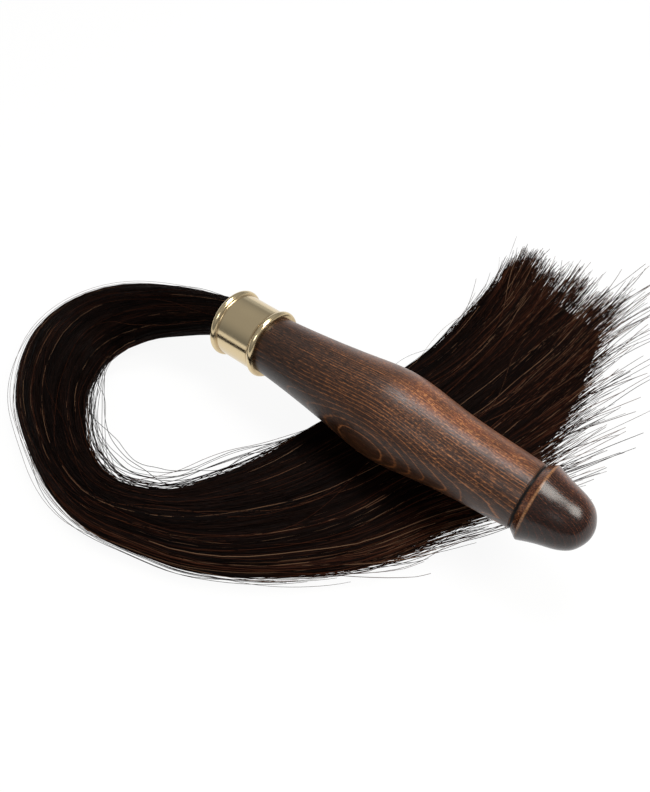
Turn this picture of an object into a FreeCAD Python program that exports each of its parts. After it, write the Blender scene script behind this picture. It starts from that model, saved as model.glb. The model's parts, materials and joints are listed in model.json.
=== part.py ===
import FreeCAD, Part
import math
import os

# Long horsehair neck duster: a turned wooden handle with a domed pommel, a spun brass ferrule, and a
# tress of long hair bound and set into a blind bore in the handle's end. It lies on a table. The tress
# leaves the ferrule, drops to the table, loops round by about three quarters of a turn, passes under
# the handle and ends in an open fan.
#
# Row frame, in millimetres: +Z is up and the table is at z = 0. The origin is on the table, below the
# thickest point of the handle. +X is the handle's heading, from its hair end to its pommel.
#
# Handle and ferrule are turned about one axis. Along it, "s" is the distance from the centre of the
# ferrule's hair-end bead, positive towards the pommel. Along the tress, "u" is the distance travelled
# in plan from the ferrule's mouth.

Vec = FreeCAD.Vector

# How the grip lies
mouth_height = 27.5          # height of the turning axis at s = 0, above the table
grip_pitch = 3.0             # degrees by which the axis climbs towards the pommel

# Ferrule
ferrule_tube_radius = 13.7
ferrule_wall = 1.0
bead_height = 1.3            # how far a bead stands out from the tube
bead_width = 3.0
bead_spacing = 21.0          # between the centres of the two beads
bead_root_fillet = 0.7       # the flare between tube and bead
lip_roll = 0.4               # how far the rolled lip stands out past the hair-end bead

# Handle, turned in one piece
swell_radius = 18.65
swell_at = 82.0
groove_past_swell = 59.5
neck_radius = 13.0           # just before the groove
groove_width = 1.1
groove_depth = 0.7
collar_height = 2.05         # crest of the collar above the neck
collar_rise = 2.8            # length of the bevel from the groove to the crest of the collar
collar_ease = 0.6            # radius that the crest is sanded to
pommel_length = 24.6         # from the start of the groove to the tip of the dome
spigot_clearance = 0.05      # glue line between spigot and ferrule
spigot_recess = 1.0          # the spigot's end face lies this far inside the ferrule's first bead
bore_radius = 9.2
bore_depth = 30.0
# Shape of the turned curves. Slope and waist: distance from the swell, and the share of the swell's
# height that is left there. Dome: share of the pommel's length, and share of the collar's radius.
slope_shape = [(44.0, 0.19), (15.0, 0.74)]
waist_shape = [(14.0, 0.79), (28.6, 0.41), (43.2, 0.19)]
dome_shape = [(0.285, 0.917), (0.407, 0.845), (0.528, 0.787), (0.65, 0.729), (0.772, 0.641), (0.874, 0.515),
              (0.951, 0.326)]

# Hair root inside the bore
thread_diameter = 0.8
thread_turns = 13
thread_clearance = 0.02      # between the thread and the root that it is wound on
whipping_clearance = 0.08    # between the wound thread and the bore
whipping_gap = 4.6           # from the last turn of thread to the pitch
pitch_clearance = 0.05       # between the set pitch and the wood or hair that it was poured against
pitch_pool = 2.5             # depth of pitch under the end of the root
pitch_climb = 6.5            # how far the pitch has climbed round the root

# Tress
mouth_clearance = 0.5        # between the round bundle and the size of the bore that it comes from
neck_reach = 4.0             # straight hair outside the mouth, before the first bend
landing = 109.0              # where the tress has come down to the table
drop_power = 1.94            # how the drop eases out: 1 is a straight slope, 2 a parabola
rest_sink = 0.82             # on the table, centre height over half height: the belly is flattened
handle_gap = 0.7             # between the hair and the swell of the handle that lies over it
section_step = 9.0           # longest distance between two lofted sections
section_points = 16
fan_tip_radius = 122.0       # the blunt end of the fan is an arc in plan
fan_tip_from_mouth = (25.4, 43.0)

# Worked out from the sizes above
ferrule_bore_radius = ferrule_tube_radius - ferrule_wall
ferrule_start = -bead_width / 2
ferrule_end = bead_spacing + bead_width / 2
spigot_radius = ferrule_bore_radius - spigot_clearance
bore_floor = spigot_recess + bore_depth
groove_at = swell_at + groove_past_swell
collar_radius = neck_radius + collar_height
root_radius = bore_radius - whipping_clearance - thread_diameter - thread_clearance
root_end = bore_floor - pitch_pool
pitch_start = root_end - pitch_climb
hair_radius = bore_radius - mouth_clearance
pitch_angle = math.radians(grip_pitch)
swell_underside = mouth_height + swell_at * math.sin(pitch_angle) - swell_radius * math.cos(pitch_angle)
under_handle = (swell_underside - handle_gap) / (1 + rest_sink)     # half height of the hair there

# The tress, stretch by stretch, as arcs in plan: length, turn to the left in degrees, and the half width
# and half height at the arc's far end. Bends hold the curves, and links between them keep their shape.
tress_stretches = [
    ("tress_bend_1", [(38.0, 28.0, 14.7, 8.7)]),
    ("tress_link_1", [(12.0, 9.0, 18.8, 8.4)]),
    ("tress_bend_2", [(30.0, 60.0, 21.2, 7.7)]),
    ("tress_link_2", [(8.0, 16.0, 19.6, 7.5)]),
    ("tress_bend_3", [(32.0, 35.0, 15.2, 7.9)]),
    ("tress_link_3", [(24.0, 8.0, 12.8, 8.4)]),
    ("tress_bend_4", [(54.0, 51.0, 13.6, 8.0)]),
    ("tress_link_4", [(20.0, 17.0, 19.6, 7.3)]),
    ("tress_bend_5", [(52.0, 20.0, 33.0, under_handle)]),
    ("tress_fan", [(44.0, 12.0, 38.5, under_handle), (52.0, 11.0, 37.0, 0.88 * under_handle),
                   (54.0, 7.0, 37.5, 0.72 * under_handle), (52.0, 6.0, 41.0, 0.5 * under_handle)]),
]


def export(shape, name):
    """Write one finished sub-part and print what it is."""
    shape.exportStep("parts/" + name + ".step")
    print(name, "solids", len(shape.Solids), "volume", round(shape.Volume, 1), "valid", shape.isValid())


def line(start, end):
    return Part.LineSegment(Vec(*start), Vec(*end)).toShape()


def arc(start, middle, end):
    return Part.Arc(Vec(*start), Vec(*middle), Vec(*end)).toShape()


def at(s, radius):
    """A point of a turned outline."""
    return (s, radius, 0.0)


def turned(edges):
    """Revolve a closed outline about the turning axis."""
    outline = Part.Wire(Part.__sortEdges__(edges))
    return Part.Face(outline).revolve(Vec(0, 0, 0), Vec(1, 0, 0), 360)


def smooth_outline(stations, round_end=False):
    """A smooth curve through the (s, radius) stations of a turned outline.
    A round end arrives at the turning axis squarely, so that the turned surface has no point there."""
    points = [Vec(*at(s, radius)) for s, radius in stations]
    curve = Part.BSplineCurve()
    if round_end:
        start = (points[1] - points[0]).normalize()
        curve.interpolate(Points=points, InitialTangent=start, FinalTangent=Vec(0, -1, 0))
    else:
        curve.interpolate(Points=points)
    return curve.toShape()


def laid_down(shape):
    """Move a turned piece from its own axis to where the grip lies."""
    placed = shape.copy()
    placed.rotate(Vec(0, 0, 0), Vec(0, 1, 0), -grip_pitch)
    placed.translate(Vec(-swell_at * math.cos(pitch_angle), 0, mouth_height))
    return placed


def make_ferrule():
    """Spun brass tube with a rolled half-round bead at each end."""
    tube, bore = ferrule_tube_radius, ferrule_bore_radius
    crest, half = tube + bead_height, bead_width / 2
    edges = [
        arc(at(ferrule_start, bore), at(ferrule_start - lip_roll, (tube + bore) / 2),
            at(ferrule_start, tube)),
        arc(at(ferrule_start, tube), at(0, crest), at(half, tube)),
        line(at(half, tube), at(bead_spacing - half, tube)),
        arc(at(bead_spacing - half, tube), at(bead_spacing, crest), at(ferrule_end, tube)),
        line(at(ferrule_end, tube), at(ferrule_end, bore)),
        line(at(ferrule_end, bore), at(ferrule_start, bore)),
    ]
    ferrule = turned(edges)
    bead_roots = [edge for edge in ferrule.Edges
                  if is_ring(edge, half, tube) or is_ring(edge, bead_spacing - half, tube)]
    return ferrule.makeFillet(bead_root_fillet, bead_roots)


def make_handle():
    """One-piece turning: spigot, long swell, groove, collar and dome, with the blind bore for the hair."""
    groove_end = groove_at + groove_width
    groove_floor = neck_radius - groove_depth
    slope = [(swell_at - before, spigot_radius + share * (swell_radius - spigot_radius))
             for before, share in slope_shape]
    waist = [(swell_at + past, neck_radius + share * (swell_radius - neck_radius))
             for past, share in waist_shape]
    dome = [(groove_at + along * pommel_length, share * collar_radius) for along, share in dome_shape]
    crest = (groove_end + collar_rise, collar_radius)
    pommel_tip = groove_at + pommel_length
    body = smooth_outline(
        [(ferrule_end, spigot_radius), *slope, (swell_at, swell_radius), *waist, (groove_at, neck_radius)])
    pommel = smooth_outline([crest, *dome, (pommel_tip, 0.0)], round_end=True)
    edges = [
        line(at(bore_floor, 0), at(bore_floor, bore_radius)),
        line(at(bore_floor, bore_radius), at(spigot_recess, bore_radius)),
        line(at(spigot_recess, bore_radius), at(spigot_recess, spigot_radius)),
        line(at(spigot_recess, spigot_radius), at(ferrule_end, spigot_radius)),
        body,
        line(at(groove_at, neck_radius), at(groove_at, groove_floor)),
        line(at(groove_at, groove_floor), at(groove_end, groove_floor)),
        line(at(groove_end, groove_floor), at(groove_end, neck_radius)),
        line(at(groove_end, neck_radius), at(*crest)),
        pommel,
        line(at(pommel_tip, 0), at(bore_floor, 0)),
    ]
    handle = turned(edges)
    return handle.makeFillet(collar_ease, [edge for edge in handle.Edges if is_ring(edge, *crest)])


def is_ring(edge, s, radius):
    """True for the circle of this radius at s on the turning axis."""
    if edge.Degenerated or not isinstance(edge.Curve, Part.Circle):
        return False
    return abs(edge.Curve.Radius - radius) < 1e-6 and abs(edge.Curve.Center.x - s) < 1e-6


def make_hair_root():
    """The bound root of the bundle, inside the bore."""
    return Part.makeCylinder(root_radius, root_end - spigot_recess, Vec(spigot_recess, 0, 0), Vec(1, 0, 0))


def make_root_whipping():
    """Waxed thread wound side by side round the root. Each turn is one half-round ridge."""
    last = pitch_start - whipping_gap
    first = last - thread_turns * thread_diameter
    inner = root_radius + thread_clearance
    middle = inner + thread_diameter / 2
    edges = [
        line(at(last, middle), at(last, inner)),
        line(at(last, inner), at(first, inner)),
        line(at(first, inner), at(first, middle)),
    ]
    for turn in range(thread_turns):
        start = first + turn * thread_diameter
        edges.append(arc(at(start, middle), at(start + thread_diameter / 2, inner + thread_diameter),
                         at(start + thread_diameter, middle)))
    return turned(edges)


def make_root_pitch():
    """Cup of setting pitch: a pool on the floor of the bore, climbing round the end of the root."""
    outer = Part.makeCylinder(bore_radius - pitch_clearance, bore_floor - pitch_start,
                              Vec(pitch_start, 0, 0), Vec(1, 0, 0))
    seat = Part.makeCylinder(root_radius + pitch_clearance, pitch_climb, Vec(pitch_start, 0, 0), Vec(1, 0, 0))
    return outer.cut(seat)


def mouth_point():
    """Where the turning axis passes the ferrule's mouth: the start of the tress."""
    return Vec((ferrule_start - swell_at) * math.cos(pitch_angle), 0,
               mouth_height + ferrule_start * math.sin(pitch_angle))


def advance(place, heading, length, turn):
    """Move along an arc in plan, and return the new place and heading in radians."""
    middle = heading + turn / 2
    chord = length if turn == 0 else length * math.sin(turn / 2) / (turn / 2)
    return Vec(place.x + chord * math.cos(middle), place.y + chord * math.sin(middle), 0), heading + turn


def mixed(table, u):
    """Read a table of (u, half width, half height) at u, in straight lines between its rows."""
    for (u0, wide0, high0), (u1, wide1, high1) in zip(table, table[1:]):
        if u <= u1:
            share = (u - u0) / (u1 - u0)
            return wide0 + share * (wide1 - wide0), high0 + share * (high1 - high0)
    return table[-1][1:]


def size_table():
    """Half width and half height of the tress against u, from the mouth to the end of the fan."""
    table = [(0.0, hair_radius, hair_radius), (neck_reach, hair_radius, hair_radius)]
    for _, arcs in tress_stretches:
        for length, _, half_width, half_height in arcs:
            table.append((table[-1][0] + length, half_width, half_height))
    return table


def centre_height(u, half_height):
    """Height of the tress's centre: it eases down from the mouth and then rests on its flattened belly."""
    rest = rest_sink * half_height
    share = min(max((u - neck_reach) / (landing - neck_reach), 0.0), 1.0)
    return rest + (mouth_point().z - rest) * (1 - share) ** drop_power


def section(place, heading, u, table):
    """A closed oval across the tress, in the upright plane square to its heading."""
    half_width, half_height = mixed(table, u)
    height = centre_height(u, half_height)
    across = Vec(-math.sin(heading), math.cos(heading), 0)
    points = []
    for count in range(section_points):
        angle = 2 * math.pi * count / section_points - math.pi / 2
        point = place + across * (half_width * math.cos(angle))
        points.append(Vec(point.x, point.y, height + half_height * math.sin(angle)))
    oval = Part.BSplineCurve()
    oval.interpolate(Points=points, PeriodicFlag=True)
    return Part.Wire(oval.toShape())


def above_table(shape):
    """Cut off what reaches below the table, which leaves one flat face there."""
    reach = 1000.0
    return shape.cut(Part.makeBox(2 * reach, 2 * reach, reach, Vec(-reach, -reach, -reach)))


def make_stretch(place, heading, u, arcs, table):
    """One stretch of the tress, lofted through sections along its arcs. Also returns where it ends."""
    sections = [section(place, heading, u, table)]
    for length, degrees, _, _ in arcs:
        steps = math.ceil(length / section_step)
        for count in range(1, steps + 1):
            share = count / steps
            here, facing = advance(place, heading, share * length, share * math.radians(degrees))
            sections.append(section(here, facing, u + share * length, table))
        place, heading, u = here, facing, u + length
    return above_table(Part.makeLoft(sections, True, False)), place, heading, u


def make_tress_neck():
    """The round bundle from the spigot's end face out through the mouth, cut where the first bend starts."""
    overrun = 2 * neck_reach
    end = ferrule_start - neck_reach - overrun
    bundle = laid_down(Part.makeCylinder(hair_radius, spigot_recess - end, Vec(end, 0, 0), Vec(1, 0, 0)))
    plane = mouth_point().x - neck_reach
    size = 4 * hair_radius + overrun
    beyond = Part.makeBox(size, size, size, Vec(plane - size, -size / 2, mouth_height - size / 2))
    return bundle.cut(beyond)


def trimmed_fan(fan):
    """Cut the fan's far end to a blunt arc."""
    height = 4 * hair_radius
    centre = mouth_point() + Vec(*fan_tip_from_mouth, 0)
    return fan.common(Part.makeCylinder(fan_tip_radius, height, Vec(centre.x, centre.y, -height / 2)))


def make_tress():
    """Every stretch of the tress beyond its neck, by name. Prints the middle of each bend, for its hinge."""
    table = size_table()
    place, heading, u = Vec(mouth_point().x - neck_reach, 0, 0), math.pi, neck_reach
    stretches = {}
    for name, arcs in tress_stretches:
        length, degrees, _, _ = arcs[0]
        middle, _ = advance(place, heading, length / 2, math.radians(degrees) / 2)
        print(name, "from u", u, "middle of its first arc", round(middle.x, 3), round(middle.y, 3))
        stretches[name], place, heading, u = make_stretch(place, heading, u, arcs, table)
    stretches["tress_fan"] = trimmed_fan(stretches["tress_fan"])
    return stretches


def main():
    os.makedirs("parts", exist_ok=True)
    grip = {
        "handle": make_handle(),
        "ferrule": make_ferrule(),
        "hair_root": make_hair_root(),
        "root_whipping": make_root_whipping(),
        "root_pitch": make_root_pitch(),
    }
    for name, shape in grip.items():
        export(laid_down(shape), name)
    export(make_tress_neck(), "tress_neck")
    for name, shape in make_tress().items():
        export(shape, name)


main()
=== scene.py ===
import json
import math

import bpy
import numpy as np
from mathutils import Matrix, Vector

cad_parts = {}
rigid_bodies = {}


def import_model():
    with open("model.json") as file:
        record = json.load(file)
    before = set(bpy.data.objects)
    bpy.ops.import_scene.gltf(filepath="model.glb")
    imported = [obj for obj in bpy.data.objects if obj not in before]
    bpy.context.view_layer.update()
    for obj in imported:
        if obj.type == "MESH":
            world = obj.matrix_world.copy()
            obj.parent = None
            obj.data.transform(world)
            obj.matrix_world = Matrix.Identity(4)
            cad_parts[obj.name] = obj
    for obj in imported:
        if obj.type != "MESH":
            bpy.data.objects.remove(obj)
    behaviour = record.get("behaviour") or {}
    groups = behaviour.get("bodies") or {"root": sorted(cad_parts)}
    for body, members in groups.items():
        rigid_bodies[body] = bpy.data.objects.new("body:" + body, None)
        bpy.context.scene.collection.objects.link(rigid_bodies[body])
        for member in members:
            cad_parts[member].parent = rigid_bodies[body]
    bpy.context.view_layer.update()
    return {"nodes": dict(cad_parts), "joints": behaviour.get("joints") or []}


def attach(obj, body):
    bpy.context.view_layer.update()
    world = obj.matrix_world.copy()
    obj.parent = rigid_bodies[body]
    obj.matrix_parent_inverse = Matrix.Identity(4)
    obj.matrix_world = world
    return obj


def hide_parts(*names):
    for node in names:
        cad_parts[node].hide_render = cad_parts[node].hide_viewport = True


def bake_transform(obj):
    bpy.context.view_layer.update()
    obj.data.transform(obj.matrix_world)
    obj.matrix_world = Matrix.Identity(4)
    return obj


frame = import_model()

mm = 0.001
scene = bpy.context.scene
scene.view_settings.view_transform = "Standard"


def addNode(tree, kind, inputs=(), **settings):
    # Adds one node and sets its properties, then fills or links the inputs that these leave in use: a list
    # goes down them in order, and a dictionary picks them by name or number
    node = tree.nodes.new(kind)
    for name, value in settings.items():
        setattr(node, name, value)
    usable = [s for s in node.inputs if s.enabled]
    for key, value in inputs.items() if isinstance(inputs, dict) else enumerate(inputs):
        socket = usable[key] if isinstance(key, int) else next(s for s in usable if s.name == key)
        if isinstance(value, bpy.types.Node):
            value = next(s for s in value.outputs if s.enabled)
        if isinstance(value, bpy.types.NodeSocket):
            tree.links.new(value, socket)
        else:
            socket.default_value = value
    return node


def srgb(text, alpha=1.0):
    # "#rrggbb" as written in a colour picker, turned to linear light
    parts = [int(text[i:i + 2], 16) / 255 for i in (1, 3, 5)]
    return [p / 12.92 if p <= 0.04045 else ((p + 0.055) / 1.055) ** 2.4 for p in parts] + [alpha]


def newMaterial(name):
    material = bpy.data.materials.new(name)
    material.use_nodes = True
    material.node_tree.nodes.clear()
    return material, material.node_tree


def setRamp(node, stops):
    ramp = node.color_ramp
    while len(ramp.elements) > 1:
        ramp.elements.remove(ramp.elements[-1])
    ramp.elements[0].position = stops[0][0]
    ramp.elements[0].color = srgb(stops[0][1])
    for place, colour in stops[1:]:
        ramp.elements.new(place).color = srgb(colour)
    return node


# camera, floor and light; camera place in mm
studio = {
    "place": (86.70, -143.68, 257.35), "right": (0.7706, 0.6373, 0.0),
    "up": (-0.5037, 0.6090, 0.6127), "back": (0.3905, -0.4722, 0.7903), "lens": 33.15,
    "floorColour": "#f2f2f1", "floorSize": 12.0, "floorGap": 0.0003, "floorGlow": 0.92,
    "ceilingColour": "#ffffff", "wallColour": "#b9bcc0", "roomStrength": 0.42, "backdropStrength": 0.6,
    # name: centre in metres, width and depth in metres, watts, colour
    "softboxes": {
        "overheadSoftbox": ((-0.16, 0.26, 0.95), (0.42, 0.34), 4.6, "#ffffff"),
        "rightSoftbox": ((0.57, 0.24, 0.83), (0.44, 0.4), 6.8, "#fffaf2"),
        "frontSoftbox": ((0.25, -0.95, 1.10), (0.6, 0.4), 3.0, "#ffffff"),
    },
}


def makeStudio(values):
    camera = bpy.data.objects.new("camera", bpy.data.cameras.new("camera"))
    scene.collection.objects.link(camera)
    turn = Matrix([values["right"], values["up"], values["back"]]).transposed().to_4x4()
    camera.matrix_world = Matrix.Translation(Vector(values["place"]) * mm) @ turn
    camera.data.lens = values["lens"]
    camera.data.sensor_width = 36.0
    camera.data.clip_start = 0.01
    scene.camera = camera

    material, tree = newMaterial("paperSweep")     # matt white paper
    paper = addNode(tree, "ShaderNodeBsdfDiffuse", {"Color": srgb(values["floorColour"])})
    glow = addNode(tree, "ShaderNodeEmission", {"Color": (1, 1, 1, 1), "Strength": 1.0})
    rays = addNode(tree, "ShaderNodeLightPath")
    sharp = addNode(tree, "ShaderNodeMath", [rays.outputs["Is Camera Ray"], rays.outputs["Is Glossy Ray"]],
                    operation="MAXIMUM")
    seen = addNode(tree, "ShaderNodeMath", [sharp, rays.outputs["Is Transmission Ray"]], operation="MAXIMUM")
    share = addNode(tree, "ShaderNodeMath", [seen, values["floorGlow"]], operation="MULTIPLY")
    shader = addNode(tree, "ShaderNodeMixShader", [share, paper, glow])
    addNode(tree, "ShaderNodeOutputMaterial", {"Surface": shader})
    half = values["floorSize"] / 2
    low = -values["floorGap"]
    corners = [(-half, -half, low), (half, -half, low), (half, half, low), (-half, half, low)]
    floor = meshObject("floor", corners, [(0, 1, 2, 3)], material)

    world = bpy.data.worlds.new("studioRoom")
    world.use_nodes = True
    world.node_tree.nodes.clear()
    # a white ceiling over slightly darker walls, and a lit backdrop low behind the table
    direction = addNode(world.node_tree, "ShaderNodeTexCoord")
    height = addNode(world.node_tree, "ShaderNodeSeparateXYZ", {"Vector": direction.outputs["Generated"]})
    rise = addNode(world.node_tree, "ShaderNodeMapRange", [height.outputs["Z"], 0.0, 0.7],
                   interpolation_type="SMOOTHSTEP")
    room = setRamp(addNode(world.node_tree, "ShaderNodeValToRGB", {"Fac": rise}),
                   [(0.0, values["wallColour"]), (1.0, values["ceilingColour"])])
    backSide = addNode(world.node_tree, "ShaderNodeMapRange", [height.outputs["Y"], 0.2, 0.6],
                       interpolation_type="SMOOTHSTEP")
    lowDown = addNode(world.node_tree, "ShaderNodeMapRange", [height.outputs["Z"], 0.32, 0.16],
                      interpolation_type="SMOOTHSTEP")
    behind = addNode(world.node_tree, "ShaderNodeMath", [backSide, lowDown], operation="MULTIPLY")
    strength = addNode(world.node_tree, "ShaderNodeMath",
                       [behind, values["backdropStrength"], values["roomStrength"]], operation="MULTIPLY_ADD")
    sky = addNode(world.node_tree, "ShaderNodeBackground", {"Color": room, "Strength": strength})
    addNode(world.node_tree, "ShaderNodeOutputWorld", {"Surface": sky})
    scene.world = world

    for name, (place, size, watts, colour) in values["softboxes"].items():
        light = bpy.data.lights.new(name, "AREA")
        light.shape = "RECTANGLE"
        light.size, light.size_y = size
        light.energy = watts
        light.color = srgb(colour)[:3]
        lamp = bpy.data.objects.new(name, light)
        lamp.location = place
        lamp.rotation_euler = (Vector((0, 0, 0)) - Vector(place)).to_track_quat("-Z", "Y").to_euler()
        scene.collection.objects.link(lamp)


def meshObject(name, points, faces, material, smooth=False):
    mesh = bpy.data.meshes.new(name)
    mesh.from_pydata([tuple(p) for p in points], [], faces)
    mesh.materials.append(material)
    mesh.polygons.foreach_set("use_smooth", [smooth] * len(mesh.polygons))
    mesh.update()
    piece = bpy.data.objects.new(name, mesh)
    scene.collection.objects.link(piece)
    return piece


makeStudio(studio)
print("studio ready")

# turned handle: beech stained walnut brown, satin lacquer; lengths in mm
handleWood = {
    "axisPlace": (0.0, 0.0, 31.79), "pitch": 3.0,       # middle of the swell, and the axis' climb in degrees
    "ringSpacing": 0.98, "pithAway": 150.0, "pithUp": 1.4, "ringLean": 0.022, "ringWave": 0.4,
    "ringPhase": 0.14, "ringDrift": 0.45, "ringUneven": 0.9,                    # in rings
    "fibre": (5.5, 0.34), "fleck": (1.1, 0.65, 0.5), "pore": (2.6, 0.36),         # along, then across
    "drift": (34, 9, 9), "patch": (16, 7, 7),             # where the rings wander, and where wear and painted light are strongest
    "darkStain": "#1a0e07", "midStain": "#3b2213", "lineStain": "#925b33", "crestWearAndHighlight": "#a8784e",
    # painted shade for the groove
    "grooveShade": "#050302",
    "domeDark": "#130804", "domeMid": "#38190c", "domeLine": "#84502f",
    "wornLitDark": "#3f2216", "wornLitMid": "#74422a", "wornLitPale": "#b87d4a",
    "groove": (59.4, 60.9), "crest": 63.5, "roughness": 0.34,                   # places along the axis
    # what each adds to the tone, from 0, dark, to 1, light; a pair goes from one end of the handle to the far
    "lineTone": (0.32, 0.62), "fleckTone": (0.14, 0.05), "fibreTone": 0.22, "poreTone": -0.24,
    "neckGround": (0.17, 0.3), "pommelGround": (0.3, 0.12), "pommelLift": 1.35, "nearDomeShade": 0.55,
    # where hands wear it, partly painted light, in mm on the axis' own X, Y and Z, from where each begins to
    # where it is full
    "palmFarHalf": (-4.5, 0.5), "palmTopHalf": (-4.0, 3.0), "palmStart": (-18.0, -1.0), "palmRagged": 26.0,
    "palmEnd": (61.0, 58.0), "palmThin": (60.0, 44.0), "farSide": (-2.0, 7.0), "upperHalf": (-2.0, 6.0),
    "neckFade": (20.0, -10.0), "nearBand": (-16.0, -11.0), "highBand": (2.0, 8.0), "litTop": (-5.0, 9.0),
    "bevelStart": (60.8, 61.3), "bevelEnd": (64.2, 63.2),
    "grooveReach": (0.62, 0.3), "crestReach": (0.75, 0.1),
    # and how strongly
    "neckWear": 0.5, "domeWear": 0.7, "bevelWear": 0.75, "fleckWear": 0.5,
}


def turnedAxis(tree, values):
    # Object coordinates with X along the turning axis and zero at the middle of the swell
    place = addNode(tree, "ShaderNodeTexCoord")
    return addNode(tree, "ShaderNodeMapping",
                   {"Vector": place.outputs["Object"], "Location": [v * mm for v in values["axisPlace"]],
                    "Rotation": (0, -math.radians(values["pitch"]), 0)}, vector_type="TEXTURE")


def stretchedNoise(tree, vector, lengths, detail=3.0, roughness=0.6):
    # Noise whose grains are about these lengths in mm along x, y and z
    grain = addNode(tree, "ShaderNodeMapping", {"Vector": vector, "Scale": [1 / v for v in lengths]})
    return addNode(tree, "ShaderNodeTexNoise", {"Vector": grain, "Scale": 1.0, "Detail": detail,
                                                "Roughness": roughness})


def beechRings(tree, axis, parts, pommel, values):
    # The hard late wood of each year's ring as a thin line, and the wavy place that rings and fibres follow
    slow = stretchedNoise(tree, axis, values["drift"], 2.0, 0.45)
    shift = addNode(tree, "ShaderNodeVectorMath", [slow.outputs["Color"], (0.5, 0.5, 0.5)],
                    operation="SUBTRACT")
    pushed = addNode(tree, "ShaderNodeVectorMath", [shift, [values["ringWave"] * 2] * 3, axis],
                     operation="MULTIPLY_ADD")
    fromPith = addNode(tree, "ShaderNodeVectorMath", [pushed, (0, -values["pithAway"], -values["pithUp"])],
                       operation="ADD")
    across = addNode(tree, "ShaderNodeVectorMath", [fromPith, (0, 1, 1)], operation="MULTIPLY")
    radius = addNode(tree, "ShaderNodeVectorMath", [across], operation="LENGTH")
    leaning = addNode(tree, "ShaderNodeMath", [parts["X"], -values["ringLean"], radius.outputs["Value"]],
                      operation="MULTIPLY_ADD")
    count = addNode(tree, "ShaderNodeMath", [leaning, values["ringSpacing"]], operation="DIVIDE")
    slowCount = addNode(tree, "ShaderNodeMath", [count, values["ringDrift"]], operation="MULTIPLY")
    uneven = addNode(tree, "ShaderNodeTexNoise", {"W": slowCount, "Scale": 1.0, "Detail": 1.0},
                     noise_dimensions="1D")
    unevenCount = addNode(tree, "ShaderNodeMath", [uneven, values["ringUneven"], count],
                          operation="MULTIPLY_ADD")
    count = addNode(tree, "ShaderNodeMath", [unevenCount, values["ringPhase"]], operation="ADD")
    ringShare = addNode(tree, "ShaderNodeMath", [count], operation="FRACT")
    season = setRamp(addNode(tree, "ShaderNodeValToRGB", {"Fac": ringShare}),
                     [(0.0, "#000000"), (0.5, "#2a2a2a"), (0.76, "#707070"), (0.86, "#ffffff"),
                      (0.92, "#ffffff"), (0.99, "#000000")])
    ringNumber = addNode(tree, "ShaderNodeMath", [count], operation="FLOOR")
    vintage = addNode(tree, "ShaderNodeTexWhiteNoise", {"W": ringNumber}, noise_dimensions="1D")
    strength = addNode(tree, "ShaderNodeMapRange", [vintage.outputs["Value"], 0.0, 1.0, 0.5, 1.0])
    line = addNode(tree, "ShaderNodeMath", [season.outputs["Color"], strength], operation="MULTIPLY")
    plainPommel = addNode(tree, "ShaderNodeMapRange", [pommel, 0.0, 1.0, 1.0, 0.7])
    return pushed, addNode(tree, "ShaderNodeMath", [line, plainPommel], operation="MULTIPLY")


def beechGrain(tree, axis, pushed, values):
    # Fibres, ray flecks and vessels, drawn about twice as wide as they are so that they show
    long, fine = values["fibre"]
    fibre = stretchedNoise(tree, pushed, (long, fine, fine), 3.0, 0.6)
    fleck = stretchedNoise(tree, axis, values["fleck"], 2.0, 0.5)
    long, fine = values["pore"]
    pore = stretchedNoise(tree, axis, (long, fine, fine), 2.0, 0.5)
    pores = addNode(tree, "ShaderNodeMapRange", [pore, 0.54, 0.70], interpolation_type="SMOOTHSTEP")
    flecks = addNode(tree, "ShaderNodeMapRange", [fleck, 0.46, 0.70], interpolation_type="SMOOTHSTEP")
    return fibre, flecks, pores


def beechTone(tree, parts, pommel, line, fibre, flecks, pores, values):
    # How light the stained wood is, from 0 to 1; it is plainer on the shaded side underneath
    upper = addNode(tree, "ShaderNodeMapRange", [parts["Z"], -7.0, 5.0, 0.7, 1.0],
                    interpolation_type="SMOOTHSTEP")
    fibreLight = addNode(tree, "ShaderNodeMapRange",
                         [fibre, 0.36, 0.66, -values["fibreTone"], values["fibreTone"]])
    fibreTone = addNode(tree, "ShaderNodeMath", [fibreLight, upper], operation="MULTIPLY")
    lineWeight = addNode(tree, "ShaderNodeMapRange", [parts["X"], -62.0, -8.0, *values["lineTone"]],
                         interpolation_type="SMOOTHSTEP")
    tone = addNode(tree, "ShaderNodeMath", [line, lineWeight, fibreTone], operation="MULTIPLY_ADD")
    fleckWeight = addNode(tree, "ShaderNodeMapRange", [pommel, 0.0, 1.0, *values["fleckTone"]])
    tone = addNode(tree, "ShaderNodeMath", [flecks, fleckWeight, tone], operation="MULTIPLY_ADD")
    tone = addNode(tree, "ShaderNodeMath", [pores, values["poreTone"], tone], operation="MULTIPLY_ADD")
    # painted shade: the dome is darker on its near, lower side
    nearSide = addNode(tree, "ShaderNodeMapRange", [parts["Y"], 2.0, -10.0], interpolation_type="SMOOTHSTEP")
    nearDome = addNode(tree, "ShaderNodeMath", [nearSide, pommel], operation="MULTIPLY")
    pommelLift = addNode(tree, "ShaderNodeMapRange", [pommel, 0.0, 1.0, 1.0, values["pommelLift"]])
    tone = addNode(tree, "ShaderNodeMath", [tone, pommelLift], operation="MULTIPLY")
    domeShade = addNode(tree, "ShaderNodeMapRange", [nearDome, 0.0, 1.0, 1.0, values["nearDomeShade"]])
    tone = addNode(tree, "ShaderNodeMath", [tone, domeShade], operation="MULTIPLY")
    pommelGround = addNode(tree, "ShaderNodeMapRange", [pommel, 0.0, 1.0, *values["pommelGround"]])
    neckGround = addNode(tree, "ShaderNodeMapRange", [parts["X"], -52.0, -12.0, *values["neckGround"]],
                         interpolation_type="SMOOTHSTEP")
    ground = addNode(tree, "ShaderNodeMath", [pommelGround, neckGround], operation="MINIMUM")
    return addNode(tree, "ShaderNodeMath", [tone, ground], operation="ADD")


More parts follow.
